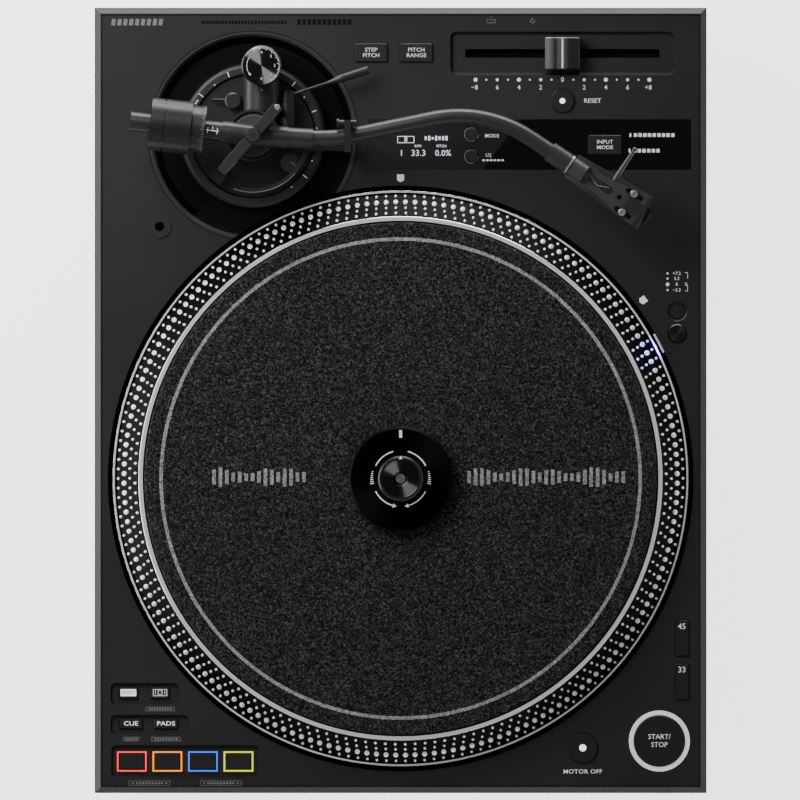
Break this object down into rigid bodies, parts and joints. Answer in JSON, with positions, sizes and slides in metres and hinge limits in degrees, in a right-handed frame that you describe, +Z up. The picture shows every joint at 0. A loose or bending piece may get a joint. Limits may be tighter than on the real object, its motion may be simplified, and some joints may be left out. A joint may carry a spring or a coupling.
{
  "type": "record player turntable",
  "caption": "Direct-drive record player with S-shaped tonearm, dotted platter, record clamp, pitch fader, performance pads and lit start key on a low rectangular cabinet.",
  "frame": {"origin": "on the floor under the middle of the cabinet", "axes": "+Z up, -Y towards the user, +X to the user's right"},
  "size_m": [0.353, 0.453, 0.157],
  "materials": {
    "cabinet_paint": "satin black paint on steel",
    "panel_paint": "fine satin black paint on aluminium",
    "base_moulding": "moulded black plastic",
    "well_metal": "black painted steel",
    "jack_plate": "black painted steel",
    "socket_plating": "plated connectors in black housings",
    "board": "green circuit board",
    "window": "polished black acrylic",
    "coil": "wound copper",
    "bronze": "turned bronze",
    "arm_pan": "satin black casting",
    "screw_steel": "zinc plated",
    "light_guide": "frosted light pipe",
    "platter_casting": "black anodised casting",
    "spindle_steel": "ground steel",
    "magnet": "ferrite ring",
    "felt": "black felt",
    "clamp_metal": "black anodised",
    "dial_metal": "spun and anodised",
    "ring_metal": "black anodised, knurled",
    "arm_casting": "satin black casting",
    "arm_tube": "gloss black tube",
    "weight_metal": "black coated steel",
    "shell_metal": "black anodised",
    "cartridge_plastic": "moulded black plastic",
    "key_plastic": "moulded key",
    "pad_silicone": "moulded silicone",
    "fader_plastic": "moulded cap",
    "foot_rubber": "moulded rubber",
    "switch_plastic": "moulded rocker"
  },
  "bodies": {
    "root": {"side_frame": "cabinet_paint", "top_panel": "panel_paint", "platter_well": "well_metal", "bottom_cover": "base_moulding", "rear_jack_panel": "jack_plate", "rear_sockets": "socket_plating", "circuit_boards": "board", "display_window": "window", "stator_coils": "coil", "bearing_housing": "bronze", "arm_base_pan": "arm_pan", "chassis_screws": "screw_steel", "light_guides": "light_guide"},
    "platter": {"platter": "platter_casting", "spindle": "spindle_steel", "rotor_magnet": "magnet"},
    "slipmat": {"slipmat": "felt"},
    "clamp_body": {"clamp_body": "clamp_metal"},
    "clamp_dial": {"clamp_dial": "dial_metal"},
    "height_ring": {"height_ring": "ring_metal"},
    "arm_base": {"arm_base": "arm_casting", "gimbal_bridge": "arm_casting"},
    "gimbal_ring": {"gimbal_ring": "arm_casting"},
    "arm": {"arm_tube": "arm_tube", "headshell": "shell_metal", "cartridge": "cartridge_plastic"},
    "counterweight": {"counterweight": "weight_metal"},
    "weight_scale_ring": {"weight_scale_ring": "weight_metal"},
    "shell_collar": {"shell_collar": "shell_metal"},
    "antiskate_dial": {"antiskate_dial": "dial_metal"},
    "height_lock_lever": {"height_lock_lever": "dial_metal"},
    "cue_lever": {"cue_lever": "arm_casting"},
    "lift_bar": {"lift_bar": "arm_casting"},
    "arm_clip": {"arm_clip": "cartridge_plastic"},
    "pitch_slider": {"pitch_slider": "fader_plastic"},
    "target_light": {"target_light": "dial_metal"},
    "power_switch": {"power_switch": "switch_plastic"},
    "step_pitch_button": {"step_pitch_button": "key_plastic"},
    "tempo_range_button": {"tempo_range_button": "key_plastic"},
    "reset_button": {"reset_button": "key_plastic"},
    "needle_mode_button": {"needle_mode_button": "key_plastic"},
    "view_button": {"view_button": "key_plastic"},
    "deck_button": {"deck_button": "key_plastic"},
    "shift_button": {"shift_button": "key_plastic"},
    "grid_button": {"grid_button": "key_plastic"},
    "hot_cue_button": {"hot_cue_button": "key_plastic"},
    "sampler_button": {"sampler_button": "key_plastic"},
    "pad_1": {"pad_1": "pad_silicone"},
    "pad_2": {"pad_2": "pad_silicone"},
    "pad_3": {"pad_3": "pad_silicone"},
    "pad_4": {"pad_4": "pad_silicone"},
    "speed_45_button": {"speed_45_button": "key_plastic"},
    "speed_33_button": {"speed_33_button": "key_plastic"},
    "start_stop_button": {"start_stop_button": "key_plastic"},
    "motor_off_button": {"motor_off_button": "key_plastic"},
    "light_button": {"light_button": "key_plastic"},
    "foot_front_left": {"foot_front_left": "foot_rubber"},
    "foot_front_right": {"foot_front_right": "foot_rubber"},
    "foot_rear_left": {"foot_rear_left": "foot_rubber"},
    "foot_rear_right": {"foot_rear_right": "foot_rubber"}
  },
  "joints": [
    {"name": "platter_spin", "type": "hinge", "parent": "root", "child": "platter", "pos_m": [0, -0.045, 0.095], "axis": [0, 0, 1], "continuous": true},
    {"name": "slipmat_slip", "type": "hinge", "parent": "platter", "child": "slipmat", "pos_m": [0, -0.045, 0.117], "axis": [0, 0, 1], "continuous": true},
    {"name": "clamp_lift", "type": "slide", "parent": "platter", "child": "clamp_body", "axis": [0, 0, 1], "range_m": [0, 0.02]},
    {"name": "clamp_dial_turn", "type": "hinge", "parent": "clamp_body", "child": "clamp_dial", "pos_m": [0, -0.045, 0.128], "axis": [0, 0, 1], "range_deg": [-120, 120]},
    {"name": "height_ring_turn", "type": "hinge", "parent": "root", "child": "height_ring", "pos_m": [-0.085, 0.15248, 0.1], "axis": [0, 0, 1], "range_deg": [0, 180]},
    {"name": "arm_base_lift", "type": "slide", "parent": "root", "child": "arm_base", "axis": [0, 0, 1], "range_m": [0, 0.006]},
    {"name": "antiskate_turn", "type": "hinge", "parent": "arm_base", "child": "antiskate_dial", "pos_m": [-0.0801, 0.19268, 0.134], "axis": [0, 0, -1], "range_deg": [0, 240]},
    {"name": "height_lock_turn", "type": "hinge", "parent": "arm_base", "child": "height_lock_lever", "pos_m": [-0.0965, 0.17268, 0.107], "axis": [0, 0, 1], "range_deg": [0, 50]},
    {"name": "cue_lever_turn", "type": "hinge", "parent": "arm_base", "child": "cue_lever", "pos_m": [-0.0652, 0.17193, 0.118], "axis": [0, 1, 0], "range_deg": [-40, 0]},
    {"name": "lift_bar_rise", "type": "slide", "parent": "arm_base", "child": "lift_bar", "axis": [0, 0, 1], "range_m": [0, 0.005]},
    {"name": "arm_clip_turn", "type": "hinge", "parent": "arm_base", "child": "arm_clip", "pos_m": [-0.0305, 0.15948, 0.1442], "axis": [1, 0, 0], "range_deg": [-100, 0]},
    {"name": "arm_yaw", "type": "hinge", "parent": "arm_base", "child": "gimbal_ring", "pos_m": [-0.085, 0.15248, 0.141], "axis": [0, 0, 1], "range_deg": [-44, 0]},
    {"name": "arm_pitch", "type": "hinge", "parent": "gimbal_ring", "child": "arm", "pos_m": [-0.085, 0.15248, 0.141], "axis": [-0.6561, -0.7547, 0], "range_deg": [-1.2, 5]},
    {"name": "counterweight_slide", "type": "slide", "parent": "arm", "child": "counterweight", "axis": [-0.9934, 0.1149, 0], "range_m": [-0.005, 0.01]},
    {"name": "scale_ring_turn", "type": "hinge", "parent": "counterweight", "child": "weight_scale_ring", "pos_m": [-0.085, 0.15248, 0.141], "axis": [-0.9934, 0.1149, 0], "range_deg": [-180, 180]},
    {"name": "shell_collar_turn", "type": "hinge", "parent": "arm", "child": "shell_collar", "pos_m": [0.0983, 0.13508, 0.141], "axis": [0.8339, -0.5519, 0], "range_deg": [0, 60]},
    {"name": "pitch_slide", "type": "slide", "parent": "root", "child": "pitch_slider", "axis": [1, 0, 0], "range_m": [-0.05, 0.05]},
    {"name": "target_light_rise", "type": "slide", "parent": "root", "child": "target_light", "axis": [0, 0, 1], "range_m": [0, 0.018]},
    {"name": "power_rock", "type": "hinge", "parent": "root", "child": "power_switch", "pos_m": [0.0761, 0.21375, 0.073], "axis": [1, 0, 0], "range_deg": [-8, 8]},
    {"name": "step_pitch_press", "type": "slide", "parent": "root", "child": "step_pitch_button", "axis": [0, 0, -1], "range_m": [0, 0.0012], "stiffness_N_per_m": 400, "springref_m": -0.001},
    {"name": "tempo_range_press", "type": "slide", "parent": "root", "child": "tempo_range_button", "axis": [0, 0, -1], "range_m": [0, 0.0012], "stiffness_N_per_m": 400, "springref_m": -0.001},
    {"name": "reset_press", "type": "slide", "parent": "root", "child": "reset_button", "axis": [0, 0, -1], "range_m": [0, 0.0012], "stiffness_N_per_m": 400, "springref_m": -0.001},
    {"name": "needle_mode_press", "type": "slide", "parent": "root", "child": "needle_mode_button", "axis": [0, 0, -1], "range_m": [0, 0.0012], "stiffness_N_per_m": 400, "springref_m": -0.001},
    {"name": "view_press", "type": "slide", "parent": "root", "child": "view_button", "axis": [0, 0, -1], "range_m": [0, 0.0012], "stiffness_N_per_m": 400, "springref_m": -0.001},
    {"name": "deck_press", "type": "slide", "parent": "root", "child": "deck_button", "axis": [0, 0, -1], "range_m": [0, 0.0012], "stiffness_N_per_m": 400, "springref_m": -0.001},
    {"name": "shift_press", "type": "slide", "parent": "root", "child": "shift_button", "axis": [0, 0, -1], "range_m": [0, 0.0012], "stiffness_N_per_m": 400, "springref_m": -0.001},
    {"name": "grid_press", "type": "slide", "parent": "root", "child": "grid_button", "axis": [0, 0, -1], "range_m": [0, 0.0012], "stiffness_N_per_m": 400, "springref_m": -0.001},
    {"name": "hot_cue_press", "type": "slide", "parent": "root", "child": "hot_cue_button", "axis": [0, 0, -1], "range_m": [0, 0.0012], "stiffness_N_per_m": 400, "springref_m": -0.001},
    {"name": "sampler_press", "type": "slide", "parent": "root", "child": "sampler_button", "axis": [0, 0, -1], "range_m": [0, 0.0012], "stiffness_N_per_m": 400, "springref_m": -0.001},
    {"name": "pad_1_press", "type": "slide", "parent": "root", "child": "pad_1", "axis": [0, 0, -1], "range_m": [0, 0.0012], "stiffness_N_per_m": 400, "springref_m": -0.001},
    {"name": "pad_2_press", "type": "slide", "parent": "root", "child": "pad_2", "axis": [0, 0, -1], "range_m": [0, 0.0012], "stiffness_N_per_m": 400, "springref_m": -0.001},
    {"name": "pad_3_press", "type": "slide", "parent": "root", "child": "pad_3", "axis": [0, 0, -1], "range_m": [0, 0.0012], "stiffness_N_per_m": 400, "springref_m": -0.001},
    {"name": "pad_4_press", "type": "slide", "parent": "root", "child": "pad_4", "axis": [0, 0, -1], "range_m": [0, 0.0012], "stiffness_N_per_m": 400, "springref_m": -0.001},
    {"name": "speed_45_press", "type": "slide", "parent": "root", "child": "speed_45_button", "axis": [0, 0, -1], "range_m": [0, 0.0012], "stiffness_N_per_m": 400, "springref_m": -0.001},
    {"name": "speed_33_press", "type": "slide", "parent": "root", "child": "speed_33_button", "axis": [0, 0, -1], "range_m": [0, 0.0012], "stiffness_N_per_m": 400, "springref_m": -0.001},
    {"name": "start_stop_press", "type": "slide", "parent": "root", "child": "start_stop_button", "axis": [0, 0, -1], "range_m": [0, 0.0012], "stiffness_N_per_m": 400, "springref_m": -0.001},
    {"name": "motor_off_press", "type": "slide", "parent": "root", "child": "motor_off_button", "axis": [0, 0, -1], "range_m": [0, 0.0012], "stiffness_N_per_m": 400, "springref_m": -0.001},
    {"name": "light_press", "type": "slide", "parent": "root", "child": "light_button", "axis": [0, 0, -1], "range_m": [0, 0.0012], "stiffness_N_per_m": 400, "springref_m": -0.001},
    {"name": "foot_front_left_level", "type": "slide", "parent": "root", "child": "foot_front_left", "axis": [0, 0, -1], "range_m": [0, 0.005]},
    {"name": "foot_front_right_level", "type": "slide", "parent": "root", "child": "foot_front_right", "axis": [0, 0, -1], "range_m": [0, 0.005]},
    {"name": "foot_rear_left_level", "type": "slide", "parent": "root", "child": "foot_rear_left", "axis": [0, 0, -1], "range_m": [0, 0.005]},
    {"name": "foot_rear_right_level", "type": "slide", "parent": "root", "child": "foot_rear_right", "axis": [0, 0, -1], "range_m": [0, 0.005]}
  ],
  "couplings": [
    {"joint": "height_ring_turn", "follows": "arm_base_lift", "rad_per_m": 523.59},
    {"joint": "cue_lever_turn", "follows": "lift_bar_rise", "rad_per_m": -139.6}
  ]
}
